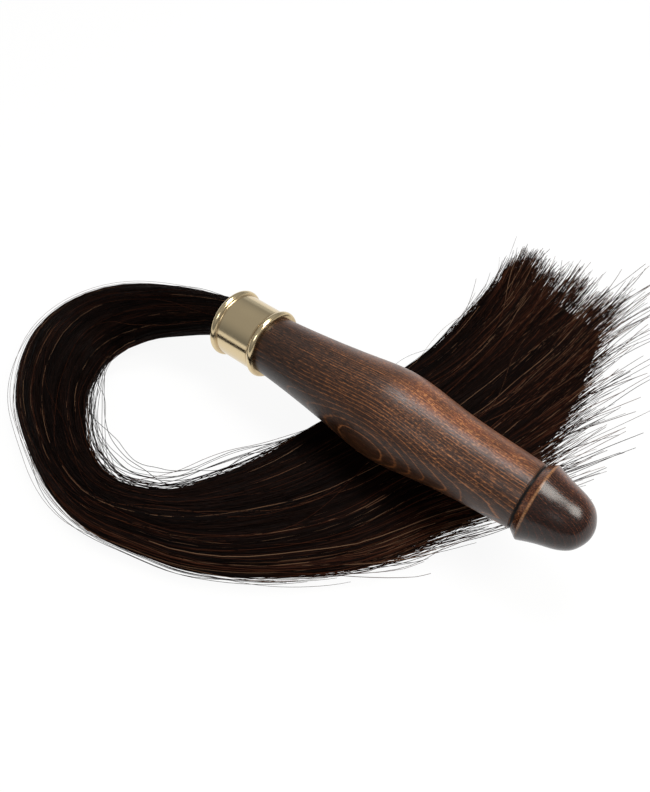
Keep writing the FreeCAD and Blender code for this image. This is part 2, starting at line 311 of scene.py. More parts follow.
def wearAndLitSide(tree, parts, pommel, patch, flecks, litTop, values):
    # Hands have worn the stain thin and warm along the far side of the top, from the swell to the collar, and
    # only the flecks on the near side; part of this lighter top and far side is painted light
    farHalf = addNode(tree, "ShaderNodeMapRange", [parts["Y"], *values["palmFarHalf"]],
                      interpolation_type="SMOOTHSTEP")
    topHalf = addNode(tree, "ShaderNodeMapRange", [parts["Z"], *values["palmTopHalf"]],
                      interpolation_type="SMOOTHSTEP")
    topSide = addNode(tree, "ShaderNodeMath", [farHalf, topHalf], operation="MULTIPLY")
    raggedX = addNode(tree, "ShaderNodeMath", [patch, -values["palmRagged"], parts["X"]],
                      operation="MULTIPLY_ADD")
    start = addNode(tree, "ShaderNodeMapRange", [raggedX, *values["palmStart"]],
                    interpolation_type="SMOOTHSTEP")
    beforeGroove = addNode(tree, "ShaderNodeMapRange", [parts["X"], *values["palmEnd"]],
                           interpolation_type="SMOOTHSTEP")
    thinning = addNode(tree, "ShaderNodeMapRange", [parts["X"], *values["palmThin"], 0.4, 1.0],
                       interpolation_type="SMOOTHSTEP")
    end = addNode(tree, "ShaderNodeMath", [beforeGroove, thinning], operation="MULTIPLY")
    palmStart = addNode(tree, "ShaderNodeMath", [topSide, start], operation="MULTIPLY")
    palm = addNode(tree, "ShaderNodeMath", [palmStart, end], operation="MULTIPLY")
    leaningY = addNode(tree, "ShaderNodeMath", [parts["Z"], -0.2, parts["Y"]], operation="MULTIPLY_ADD")
    farSide = addNode(tree, "ShaderNodeMapRange", [leaningY, *values["farSide"]],
                      interpolation_type="SMOOTHSTEP")
    neckFade = addNode(tree, "ShaderNodeMapRange", [parts["X"], *values["neckFade"], 0.0, values["neckWear"]],
                       interpolation_type="SMOOTHSTEP")
    upperHalf = addNode(tree, "ShaderNodeMapRange", [parts["Z"], *values["upperHalf"]],
                        interpolation_type="SMOOTHSTEP")
    farTop = addNode(tree, "ShaderNodeMath", [farSide, upperHalf], operation="MULTIPLY")
    neck = addNode(tree, "ShaderNodeMath", [farTop, neckFade], operation="MULTIPLY")
    domeWear = addNode(tree, "ShaderNodeMath", [pommel, values["domeWear"]], operation="MULTIPLY")
    dome = addNode(tree, "ShaderNodeMath", [farTop, domeWear], operation="MULTIPLY")
    nearBand = addNode(tree, "ShaderNodeMapRange", [parts["Y"], *values["nearBand"]],
                       interpolation_type="SMOOTHSTEP")
    highBand = addNode(tree, "ShaderNodeMapRange", [parts["Z"], *values["highBand"]],
                       interpolation_type="SMOOTHSTEP")
    nearTop = addNode(tree, "ShaderNodeMath", [nearBand, highBand], operation="MULTIPLY")
    nearFlecks = addNode(tree, "ShaderNodeMath", [flecks, nearTop], operation="MULTIPLY")
    palmLength = addNode(tree, "ShaderNodeMath", [start, end], operation="MULTIPLY")
    dashes = addNode(tree, "ShaderNodeMath", [nearFlecks, palmLength], operation="MULTIPLY")
    afterGroove = addNode(tree, "ShaderNodeMapRange", [parts["X"], *values["bevelStart"]],
                          interpolation_type="SMOOTHSTEP")
    beforeCrest = addNode(tree, "ShaderNodeMapRange", [parts["X"], *values["bevelEnd"]],
                          interpolation_type="SMOOTHSTEP")
    bevel = addNode(tree, "ShaderNodeMath", [afterGroove, beforeCrest], operation="MULTIPLY")
    bevelWear = addNode(tree, "ShaderNodeMath", [litTop, values["bevelWear"]], operation="MULTIPLY")
    bevel = addNode(tree, "ShaderNodeMath", [bevel, bevelWear], operation="MULTIPLY")
    shaftWear = addNode(tree, "ShaderNodeMath", [palm, neck], operation="MAXIMUM")
    pommelWear = addNode(tree, "ShaderNodeMath", [dome, bevel], operation="MAXIMUM")
    wornAndLit = addNode(tree, "ShaderNodeMath", [shaftWear, pommelWear], operation="MAXIMUM")
    dashWear = addNode(tree, "ShaderNodeMath", [dashes, values["fleckWear"]], operation="MULTIPLY")
    wornAndLit = addNode(tree, "ShaderNodeMath", [wornAndLit, dashWear], operation="MAXIMUM")
    patchWear = addNode(tree, "ShaderNodeMapRange", [patch, 0.32, 0.58, 0.45, 1.0],
                        interpolation_type="SMOOTHSTEP")
    return addNode(tree, "ShaderNodeMath", [wornAndLit, patchWear], operation="MULTIPLY")


def stainedBeech(values):
    # Beech is pale and close grained. A walnut stain sinks into the soft early wood and the pores, which go
    # dark, while the dense late wood stays as thin orange-brown lines. The handle was cut far from the pith,
    # so the rings are nearly flat sheets square to Y: loops on the side, straight lines and flecks on top.
    material, tree = newMaterial("stainedBeech")
    axis = addNode(tree, "ShaderNodeVectorMath", {0: turnedAxis(tree, values), "Scale": 1 / mm},
                   operation="SCALE")
    parts = addNode(tree, "ShaderNodeSeparateXYZ", {"Vector": axis}).outputs
    pommel = addNode(tree, "ShaderNodeMapRange", [parts["X"], values["groove"][0], values["crest"]],
                     interpolation_type="SMOOTHSTEP")
    pushed, line = beechRings(tree, axis, parts, pommel, values)
    fibre, flecks, pores = beechGrain(tree, axis, pushed, values)
    tone = beechTone(tree, parts, pommel, line, fibre, flecks, pores, values)
    stain = setRamp(addNode(tree, "ShaderNodeValToRGB", {"Fac": tone}),
                    [(0.05, values["darkStain"]), (0.42, values["midStain"]), (1.0, values["lineStain"])])
    domeStain = setRamp(addNode(tree, "ShaderNodeValToRGB", {"Fac": tone}),
                        [(0.05, values["domeDark"]), (0.42, values["domeMid"]), (1.0, values["domeLine"])])
    stain = addNode(tree, "ShaderNodeMix", {"Factor": pommel, "A": stain, "B": domeStain}, data_type="RGBA")

    # where hands have worn it, the stain is thin and the flecks are bright, with painted light on the top and
    # far side
    warmBase = addNode(tree, "ShaderNodeMath", [tone, 0.6, 0.08], operation="MULTIPLY_ADD")
    warmTone = addNode(tree, "ShaderNodeMath", [flecks, 0.38, warmBase], operation="MULTIPLY_ADD")
    wornLitColour = setRamp(addNode(tree, "ShaderNodeValToRGB", {"Fac": warmTone}),
                        [(0.08, values["wornLitDark"]), (0.42, values["wornLitMid"]),
                         (0.92, values["wornLitPale"])])
    patch = stretchedNoise(tree, axis, values["patch"], 2.0, 0.5)
    litTop = addNode(tree, "ShaderNodeMapRange", [parts["Z"], *values["litTop"], 0.12, 1.0],
                    interpolation_type="SMOOTHSTEP")
    wornAndLit = wearAndLitSide(tree, parts, pommel, patch, flecks, litTop, values)
    colour = addNode(tree, "ShaderNodeMix", {"Factor": wornAndLit, "A": stain, "B": wornLitColour}, data_type="RGBA")

    # painted shade darkens the groove, which is also rougher; the crest of the collar is lighter on top, worn
    # through and with a painted highlight
    grooveMiddle = sum(values["groove"]) / 2
    pastGroove = addNode(tree, "ShaderNodeMath", [parts["X"], grooveMiddle], operation="SUBTRACT")
    fromGroove = addNode(tree, "ShaderNodeMath", [pastGroove], operation="ABSOLUTE")
    inGroove = addNode(tree, "ShaderNodeMapRange", [fromGroove, *values["grooveReach"]],
                       interpolation_type="SMOOTHSTEP")
    grooveDark = srgb(values["grooveShade"])
    colour = addNode(tree, "ShaderNodeMix", {"Factor": inGroove, "A": colour, "B": grooveDark}, data_type="RGBA")
    # worn crest with a painted highlight: lighter where it faces up
    pastCrest = addNode(tree, "ShaderNodeMath", [parts["X"], values["crest"]], operation="SUBTRACT")
    fromCrest = addNode(tree, "ShaderNodeMath", [pastCrest], operation="ABSOLUTE")
    crestBand = addNode(tree, "ShaderNodeMapRange", [fromCrest, *values["crestReach"]],
                        interpolation_type="SMOOTHSTEP")
    fibreWear = addNode(tree, "ShaderNodeMapRange", [fibre, 0.36, 0.62, 0.2, 0.7],
                        interpolation_type="SMOOTHSTEP")
    onCrest = addNode(tree, "ShaderNodeMath", [crestBand, fibreWear], operation="MULTIPLY")
    onCrest = addNode(tree, "ShaderNodeMath", [onCrest, litTop], operation="MULTIPLY")
    crestLight = srgb(values["crestWearAndHighlight"])
    colour = addNode(tree, "ShaderNodeMix", {"Factor": onCrest, "A": colour, "B": crestLight}, data_type="RGBA")

    # satin film: a little rougher in the pores, and fine relief along the fibres
    gloss = addNode(tree, "ShaderNodeMapRange",
                    [fibre, 0.3, 0.8, values["roughness"] - 0.04, values["roughness"] + 0.10])
    gloss = addNode(tree, "ShaderNodeMath", [pommel, -0.14, gloss], operation="MULTIPLY_ADD")
    gloss = addNode(tree, "ShaderNodeMapRange", [inGroove, 0.0, 1.0, gloss, 0.95])
    relief = addNode(tree, "ShaderNodeMath", [pores, -0.7, fibre], operation="MULTIPLY_ADD")
    smoothPommel = addNode(tree, "ShaderNodeMapRange", [pommel, 0.0, 1.0, 1.0, 0.4])
    relief = addNode(tree, "ShaderNodeMath", [relief, smoothPommel], operation="MULTIPLY")
    bump = addNode(tree, "ShaderNodeBump", {"Strength": 0.32, "Distance": 0.1 * mm, "Height": relief})
    shader = addNode(tree, "ShaderNodeBsdfPrincipled", {
        "Base Color": colour, "Roughness": gloss, "IOR": 1.5, "Specular IOR Level": 0.36, "Coat Weight": 0.08,
        "Coat Roughness": 0.26, "Normal": bump})
    addNode(tree, "ShaderNodeOutputMaterial", {"Surface": shader})
    return material


# spun brass ferrule; lengths in mm
ferruleBrass = {
    "axisPlace": handleWood["axisPlace"], "pitch": handleWood["pitch"],
    "brass": "#d8c49d", "tarnish": "#8a6432", "spinLine": 0.45, "roughness": 0.15,
    "beads": (-82.0, -61.0), "beadWidth": 3.0,
    "beadRoot": 0.62, "cornerReach": 1.0,       # a bead's root as a share of its width, and the tarnish by it
}


def polishedBrass(values):
    # Brass tube, spun and buffed: a pale gold mirror with faint rings from the lathe and soft finger marks,
    # browner in the corners beside the beads where the buff doesn't reach.
    material, tree = newMaterial("polishedBrass")
    axis = turnedAxis(tree, values)
    parts = addNode(tree, "ShaderNodeSeparateXYZ", {"Vector": axis})
    lineAt = addNode(tree, "ShaderNodeMath", [parts.outputs["X"], 1 / (values["spinLine"] * mm)],
                     operation="MULTIPLY")
    spun = addNode(tree, "ShaderNodeTexNoise", {"W": lineAt, "Scale": 1.0, "Detail": 3.0},
                   noise_dimensions="1D")
    smear = addNode(tree, "ShaderNodeTexNoise", {"Vector": axis, "Scale": 120.0, "Detail": 4.0,
                                                 "Roughness": 0.6})
    corner = None
    for bead in values["beads"]:
        offset = addNode(tree, "ShaderNodeMath", [parts.outputs["X"], bead * mm], operation="SUBTRACT")
        away = addNode(tree, "ShaderNodeMath", [offset], operation="ABSOLUTE")
        fromRoot = addNode(tree, "ShaderNodeMath", [away, values["beadWidth"] * values["beadRoot"] * mm],
                           operation="SUBTRACT")
        gap = addNode(tree, "ShaderNodeMath", [fromRoot], operation="ABSOLUTE")
        near = addNode(tree, "ShaderNodeMapRange", [gap, values["cornerReach"] * mm, 0.0])
        corner = near if corner is None else addNode(tree, "ShaderNodeMath", [corner, near],
                                                     operation="MAXIMUM")
    dull = addNode(tree, "ShaderNodeMath", [corner, smear], operation="MULTIPLY")
    colour = addNode(tree, "ShaderNodeMix", {"Factor": dull, "A": srgb(values["brass"]),
                                             "B": srgb(values["tarnish"])}, data_type="RGBA")
    blur = addNode(tree, "ShaderNodeMath", [smear, 0.12, values["roughness"] - 0.05],
                   operation="MULTIPLY_ADD")
    blurred = addNode(tree, "ShaderNodeMath", [corner, 0.12, blur], operation="MULTIPLY_ADD")
    bump = addNode(tree, "ShaderNodeBump", {"Strength": 0.12, "Distance": 0.05 * mm, "Height": spun})
    shader = addNode(tree, "ShaderNodeBsdfPrincipled",
                     {"Base Color": colour, "Metallic": 1.0, "Roughness": blurred, "Normal": bump})
    addNode(tree, "ShaderNodeOutputMaterial", {"Surface": shader})
    return material


hairColour = {
    # the first colour is painted shade for the hair inside the bundle
    "coreShade": "#040201", "black": "#070302", "brown": "#160a06", "tan": "#3d1f12", "light": "#664d3a",
    "roughness": 0.5, "shine": 0.045,
    # what is added to a hair's shade, from 0, black, to 1, light: by chance, by its lock, on the outer side,
    # and at worn tips over these mm from the tip
    "ownShade": (-0.24, 0.33), "lockShade": 0.3, "outerShade": 0.24, "tipShade": 0.68, "tipWorn": (62.0, 6.0),
}


def horsehair(values):
    # Dyed tail hair: coarse, smooth cuticle with a low shine; nearly black, with undyed brown hairs between
    material, tree = newMaterial("dyedHorsehair")
    shade = addNode(tree, "ShaderNodeAttribute", attribute_name="hairShade", attribute_type="GEOMETRY")
    stain = setRamp(addNode(tree, "ShaderNodeValToRGB", {"Fac": shade.outputs["Fac"]}),
                    [(0.0, values["black"]), (0.3, values["brown"]), (0.65, values["tan"]),
                     (1.0, values["light"])])
    place = addNode(tree, "ShaderNodeTexCoord").outputs["Object"]
    streak = addNode(tree, "ShaderNodeTexNoise", {"Vector": place, "Scale": 260.0, "Detail": 2.0})
    gloss = addNode(tree, "ShaderNodeMapRange",
                    [streak, 0.3, 0.7, values["roughness"] - 0.06, values["roughness"] + 0.1])
    shader = addNode(tree, "ShaderNodeBsdfPrincipled", {
        "Base Color": stain, "Roughness": gloss, "IOR": 1.5, "Specular IOR Level": values["shine"]})
    addNode(tree, "ShaderNodeOutputMaterial", {"Surface": shader})
    return material


def hairMass(values):
    # Hair inside the bundle, seen between the strands: painted shade, the same hair darker, streaked
    # lengthwise
    material, tree = newMaterial("hairCoreShade")
    along = addNode(tree, "ShaderNodeAttribute", attribute_name="alongTress", attribute_type="GEOMETRY")
    around = addNode(tree, "ShaderNodeAttribute", attribute_name="roundTress", attribute_type="GEOMETRY")
    place = addNode(tree, "ShaderNodeCombineXYZ", {"X": along.outputs["Fac"], "Y": around.outputs["Fac"]})
    stretched = addNode(tree, "ShaderNodeMapping", {"Vector": place, "Scale": (22, 60, 1)})
    streak = addNode(tree, "ShaderNodeTexNoise", {"Vector": stretched, "Scale": 1.0, "Detail": 4.0,
                                                  "Roughness": 0.7})
    stain = setRamp(addNode(tree, "ShaderNodeValToRGB", {"Fac": streak}),
                    [(0.35, values["coreShade"]), (0.75, values["black"]), (0.95, values["brown"])])
    bump = addNode(tree, "ShaderNodeBump", {"Strength": 0.5, "Distance": 0.3 * mm, "Height": streak})
    shader = addNode(tree, "ShaderNodeBsdfPrincipled", {
        "Base Color": stain, "Roughness": 0.62, "IOR": 1.5, "Specular IOR Level": values["shine"],
        "Normal": bump})
    addNode(tree, "ShaderNodeOutputMaterial", {"Surface": shader})
    return material


# The line of the tress from the ferrule's mouth, as arcs in plan: length, turn to the left in degrees,
# and half width and half height at the far end, in mm
tress = {
    "mouth": (-83.386, 0.0), "mouthHeight": 27.42, "pitch": 3.0, "inside": 8.0, "beyond": 14.0,
    "mouthRadius": 8.7, "smoothing": 8,
    "straight": 4.0, "landing": 109.0, "dropPower": 1.94, "restSink": 0.82,
    "arcs": [(38, 28, 14.7, 8.7), (12, 9, 18.8, 8.4), (30, 60, 21.2, 7.7), (8, 16, 19.6, 7.5),
             (32, 35, 15.2, 7.9), (24, 8, 12.8, 8.4), (54, 51, 13.6, 8.0), (20, 17, 19.6, 7.3),
             (52, 20, 33.0, 6.85), (44, 12, 38.5, 6.85), (52, 11, 37.0, 6.03), (54, 7, 37.5, 4.93),
             (52, 6, 41.0, 3.43)],
    # how far the hair reaches past the modelled outline: u, on the inside of the loop, on the outside
    "loose": [(4, 0, 0), (20, 2.4, -1.4), (40, 2.4, -1.3), (55, 3.2, -2.4), (70, 0.6, 0.4), (85, -0.8, 0.7),
              (110, -1.2, -0.9), (135, -3.2, -0.8), (165, -3.3, -1.9), (178, -4.2, -1.6), (194, -0.8, -1.4),
              (210, 0, -0.8), (240, 0, -1.2), (265, 0, -3.0), (280, 0, -5.0), (300, 0, -9.0), (312, 0, -8.0),
              (325, 0, -6.0), (340, 0, -4.5), (355, 0, -3.5), (375, 0, -2.5), (440, 0, -2.0)],
    # where the hairs end, across the fan: middle, slant, from where the outer side falls away and how fast,
    # and how far the line is ragged between tufts and in waves
    "tipMiddle": 457.0, "tipSlant": 9.0, "dropFrom": 0.45, "drop": 170.0,
    "tuftRagged": (-15.0, 6.0), "waveRagged": (-11.0, 3.0),
    # how far the tips turn out, over what length: middle, slant, and more on the outer side
    "splay": (-5.0, 6.0, -5.0), "splayLength": 92.0,
    # tufts at the tips: how many, in how many layers, over what length they gather and how tightly
    "tuftsEachSide": 19.0, "tuftLayers": 3.99, "tuftLength": 34.0, "tuftGather": 0.86,
    # waves of the locks round the section and in each mm along it, and of each hair in each mm
    "lockWaves": 6.5, "lockWavesAlong": 0.013, "ownWavesAlong": 0.009,
    "leaveLength": 62.0,                     # over what length loose hairs leave the bundle and come back
    "leastHeight": 0.25,                     # the lowest that a hair's middle lies over the table
    "radiusShares": (0.38, 0.6),             # thinnest and thickest hair, of the thickness given for its kind
    "taperLength": 8.0, "taperTo": 0.75,
    # the dark core under the hairs: how far it stops short of the tips, from where it thins, by how much, and
    # how far the thin end sinks
    "coreShort": 27.0, "coreThinFrom": 0.55, "coreThin": 0.8, "coreSink": 0.45,
    "bendMargin": 1.15, "leastBend": 6.0,    # reach beside the hinge as a share of the half width, and length
    # name: from, to, CAD body before and after, the CAD nodes that it stands for
    "lengths": {
        "1": (-8, 48, "grip", "link_1", ["tress_neck", "tress_bend_1", "tress_link_1"]),
        "2": (48, 88, "link_1", "link_2", ["tress_bend_2", "tress_link_2"]),
        "3": (88, 136, "link_2", "link_3", ["tress_bend_3", "tress_link_3"]),
        "4": (136, 212, "link_3", "link_4", ["tress_bend_4", "tress_link_4"]),
        "5": (212, 290, "link_4", "fan", ["tress_bend_5"]),
        "6": (290, 480, "fan", None, ["tress_fan"]),
    },
    "bendMiddles": {"1": 23.0, "2": 69.0, "3": 108.0, "4": 175.0, "5": 248.0},
}


def traceRoute(values, step=1.0):
    # One row each mm, in mm and radians: u, x, y, heading, half width, half height, centre height, shift left
    rows = []
    stations = [(-values["inside"], values["mouthRadius"], values["mouthRadius"]),
                (values["straight"], values["mouthRadius"], values["mouthRadius"])]
    bends = [(-values["inside"], values["straight"], 0.0)]
    for length, turn, wide, high in values["arcs"]:
        u = stations[-1][0]
        bends.append((u, u + length, math.radians(turn) / length))
        stations.append((u + length, wide, high))
    x, y, heading = values["mouth"][0] + values["inside"], values["mouth"][1], math.pi
    u, last = -values["inside"], stations[-1][0] + values["beyond"]
    while u <= last:
        share = min(max((u - values["straight"]) / (values["landing"] - values["straight"]), 0), 1)
        wide, high = (float(np.interp(u, [s[0] for s in stations], [s[k] for s in stations])) for k in (1, 2))
        rest = values["restSink"] * high
        centre = rest + (values["mouthHeight"] - rest) * (1 - share) ** values["dropPower"]
        centre -= min(u, 0) * math.sin(math.radians(values["pitch"]))
        inner, outer = (float(np.interp(u, [s[0] for s in values["loose"]], [s[k] for s in values["loose"]]))
                        for k in (1, 2))
        rows.append((u, x, y, heading, wide + (inner + outer) / 2, high, centre, (inner - outer) / 2))
        curve = next((c for a, b, c in bends if a <= u + step / 2 < b), 0.0)
        middle = heading + curve * step / 2
        x += step * math.cos(middle)
        y += step * math.sin(middle)
        heading += curve * step
        u += step
    rows = np.array(rows)
    window = 2 * values["smoothing"] + 1
    for k in (4, 7):
        padded = np.pad(rows[:, k], values["smoothing"], mode="edge")
        rows[:, k] = np.convolve(padded, np.ones(window) / window, mode="valid")
    return rows


route = traceRoute(tress)


def onRoute(u, across, up):
    # Points of the tress at u mm from the mouth, with across and up as shares of the section
    x, y, heading, wide, high, centre, shift = (np.interp(u, route[:, 0], route[:, k]) for k in range(1, 8))
    side = across * wide + shift
    return np.stack([x - side * np.sin(heading), y + side * np.cos(heading),
                     np.maximum(centre + up * high, tress["leastHeight"])], -1) * mm


def tipAt(across):
    fall = tress["drop"] * np.maximum(0, -across - tress["dropFrom"])
    return tress["tipMiddle"] + tress["tipSlant"] * across - fall


def splayAt(across):
    middle, slant, outer = tress["splay"]
    return middle + slant * across + outer * np.minimum(across, 0) * np.abs(across)


def makeGuide():
    # The tress's line in plan as a chain of edges; each point has its half width, half height, centre height
    # and shift to the left
    mesh = bpy.data.meshes.new("tressGuide")
    points = [(x * mm, y * mm, 0.0) for x, y in route[:, 1:3]]
    mesh.from_pydata(points, [(i, i + 1) for i in range(len(points) - 1)], [])
    size = mesh.attributes.new("size", "FLOAT_VECTOR", "POINT")
    size.data.foreach_set("vector", (route[:, 4:7] * mm).astype(np.float32).ravel())
    shift = mesh.attributes.new("shift", "FLOAT", "POINT")
    shift.data.foreach_set("value", route[:, 7].astype(np.float32))
    guide = bpy.data.objects.new("tressGuide", mesh)
    scene.collection.objects.link(guide)
    return guide


# The hairs, in mm. Body hairs fill the skin of the bundle; the other kinds have come loose from it.
hairs = {
    "body": {"lengths": "123456", "Hairs": 4000, "Thickness": 0.27, "Angle From": -48, "Angle To": 228,
             "Inner Layer": 0.72, "Outer Layer": 1.0, "Lock Sway": 4.0, "Lock Lift": 0.16, "Own Sway": 4.5,
             "Own Lift": 0.07, "Splay": 1.0, "Scatter": 7.0, "Shortest": 66.0, "Light Hairs": 25.0,
             "Seed": 5},
    # lighter ones that wander across the others
    "crossing": {"lengths": "123456", "Hairs": 13, "Thickness": 0.14, "Angle From": 25, "Angle To": 155,
                 "Inner Layer": 1.0, "Outer Layer": 1.03, "Own Sway": 26.0, "Splay": 1.0, "Scatter": 6.0,
                 "Shortest": 60.0, "Light Hairs": 3.2, "Seed": 77},
    # slipped off the inside of the loop, and off the outside
    "inside": {"lengths": "2345", "Hairs": 70, "Thickness": 0.27, "Angle From": -12, "Angle To": 26,
               "Inner Layer": 0.95, "Outer Layer": 1.02, "Lock Sway": 2.0, "Own Sway": 3.0, "Stand Off": 8.5,
               "Off From": 70, "Off To": 292, "Light Hairs": 6.0, "Seed": 19},
    "outside": {"lengths": "12345", "Hairs": 20, "Thickness": 0.2, "Angle From": 160, "Angle To": 190,
                "Inner Layer": 0.97, "Outer Layer": 1.02, "Lock Sway": 1.0, "Own Sway": 2.0, "Stand Off": 3.6,
                "Off From": -6, "Off To": 320, "Splay": 0.4, "Scatter": 4.0, "Cut": 66.0, "Shortest": 30.0,
                "Light Hairs": 6.0, "Seed": 23},
    # hanging loose along the outer side where the loop crosses under the handle
    "trailing": {"lengths": "56", "Hairs": 170, "Thickness": 0.25, "Angle From": 158, "Angle To": 192,
                 "Inner Layer": 0.9, "Outer Layer": 1.0, "Lock Sway": 2.0, "Own Sway": 4.0, "Stand Off": 8.5,
                 "Off From": 242, "Off To": 405, "Splay": 1.1, "Scatter": 9.0, "Cut": 10.0, "Shortest": 50.0,
                 "Light Hairs": 6.0, "Seed": 61},
    # flying out of the fan, more and longer on its outer side, and a few long strays beside it
    "flying": {"lengths": "6", "Hairs": 215, "Thickness": 0.26, "Angle From": 10, "Angle To": 200,
               "Inner Layer": 0.9, "Outer Layer": 1.0, "Lock Sway": 2.0, "Own Sway": 14.0, "Own Lift": 0.1,
               "Off From": 290, "Splay": 1.5, "Scatter": 26.0, "Cut": -6.0, "Shortest": 60.0,
               "Light Hairs": 14.0, "Seed": 31},
    "outlying": {"lengths": "6", "Hairs": 200, "Thickness": 0.26, "Angle From": 104, "Angle To": 196,
                 "Inner Layer": 0.8, "Outer Layer": 1.0, "Lock Sway": 2.0, "Own Sway": 12.0, "Own Lift": 0.1,
                 "Off From": 290, "Splay": 1.8, "Scatter": 32.0, "Cut": -34.0, "Shortest": 66.0,
                 "Light Hairs": 14.0, "Seed": 38},
    "stray": {"lengths": "6", "Hairs": 5, "Thickness": 0.14, "Angle From": -5, "Angle To": 20,
              "Inner Layer": 0.97, "Outer Layer": 1.0, "Own Sway": 14.0, "Stand Off": 20.0, "Off From": 296,
              "Off To": 640, "Cut": 6.0, "Shortest": 90.0, "Light Hairs": 7.0, "Seed": 44},
}
hairStep = {"1": 6.0, "2": 6.0, "3": 6.0, "4": 8.0, "5": 9.0, "6": 9.5}      # mm between the points of a hair
mostTriangles = 190000                                                      # in one piece


def hairChances(tree, seed, number):
    # Nine numbers from 0 to 1 for each hair: angle, depth, thickness; length, colour, wear; scatter, shade,
    # stand-off
    chances = []
    for k in range(3):
        ownSeed = addNode(tree, "ShaderNodeMath", [seed, 101.0 * k], operation="ADD")
        chance = addNode(tree, "FunctionNodeRandomValue", [(0, 0, 0), (1, 1, 1), number, ownSeed],
                         data_type="FLOAT_VECTOR")
        chances.append(addNode(tree, "ShaderNodeSeparateXYZ", {"Vector": chance}).outputs)
    return chances


def hairTufts(tree, cosine, one):
    # Neighbours that share a point at the tips, in layers that don't line up: each tuft's middle and chance
    layerPlace = addNode(tree, "ShaderNodeMath", [one["Y"], tress["tuftLayers"]], operation="MULTIPLY")
    layer = addNode(tree, "ShaderNodeMath", [layerPlace], operation="FLOOR")
    phase = addNode(tree, "ShaderNodeMath", [layer, 7.31], operation="MULTIPLY")        # any uneven step
    tuftPlace = addNode(tree, "ShaderNodeMath", [cosine, tress["tuftsEachSide"], phase],
                        operation="MULTIPLY_ADD")
    tuft = addNode(tree, "ShaderNodeMath", [tuftPlace], operation="FLOOR")
    tuftCentre = addNode(tree, "ShaderNodeMath", [tuft, 0.5], operation="ADD")
    unphased = addNode(tree, "ShaderNodeMath", [tuftCentre, phase], operation="SUBTRACT")
    tuftMiddle = addNode(tree, "ShaderNodeMath", [unphased, tress["tuftsEachSide"]], operation="DIVIDE")
    tuftChance = addNode(tree, "ShaderNodeTexWhiteNoise", {"W": tuft}, noise_dimensions="1D")
    return tuftMiddle, tuftChance


def hairTip(tree, given, cosine, two, tuftChance):
    # Where the hair ends: a slanted, rounded line across the fan, less what its tuft and the hair itself lack
    pastDrop = addNode(tree, "ShaderNodeMath", [-tress["dropFrom"], cosine], operation="SUBTRACT")
    fallen = addNode(tree, "ShaderNodeMath", [pastDrop, 0.0], operation="MAXIMUM")
    reach = addNode(tree, "ShaderNodeMath", [cosine, tress["tipSlant"], tress["tipMiddle"]],
                    operation="MULTIPLY_ADD")
    cutReach = addNode(tree, "ShaderNodeMath", [reach, given["Cut"]], operation="SUBTRACT")
    reach = addNode(tree, "ShaderNodeMath", [fallen, -tress["drop"], cutReach], operation="MULTIPLY_ADD")
    waveAt = addNode(tree, "ShaderNodeMath", [cosine, 5.0], operation="MULTIPLY")
    wave = addNode(tree, "ShaderNodeTexNoise", {"W": waveAt, "Scale": 1.0, "Detail": 2.0},
                   noise_dimensions="1D")
    waveReach = addNode(tree, "ShaderNodeMapRange", [wave, 0.3, 0.7, *tress["waveRagged"]])
    ragged = addNode(tree, "ShaderNodeMath", [reach, waveReach], operation="ADD")
    tuftReach = addNode(tree, "ShaderNodeMapRange",
                        [tuftChance.outputs["Value"], 0.0, 1.0, *tress["tuftRagged"]])
    ragged = addNode(tree, "ShaderNodeMath", [ragged, tuftReach], operation="ADD")
    # hairs of all lengths on the outer side
    edgeSide = addNode(tree, "ShaderNodeMapRange", [cosine, -0.25, -0.85], interpolation_type="SMOOTHSTEP")
    few = addNode(tree, "ShaderNodeMath", [two["X"], 2.0], operation="POWER")
    moreEven = addNode(tree, "ShaderNodeMath", [two["X"], few], operation="SUBTRACT")
    lack = addNode(tree, "ShaderNodeMath", [moreEven, edgeSide, few], operation="MULTIPLY_ADD")
    mostLack = addNode(tree, "ShaderNodeMath", [given["Shortest"], -1.0], operation="MULTIPLY")
    return addNode(tree, "ShaderNodeMath", [lack, mostLack, ragged], operation="MULTIPLY_ADD")


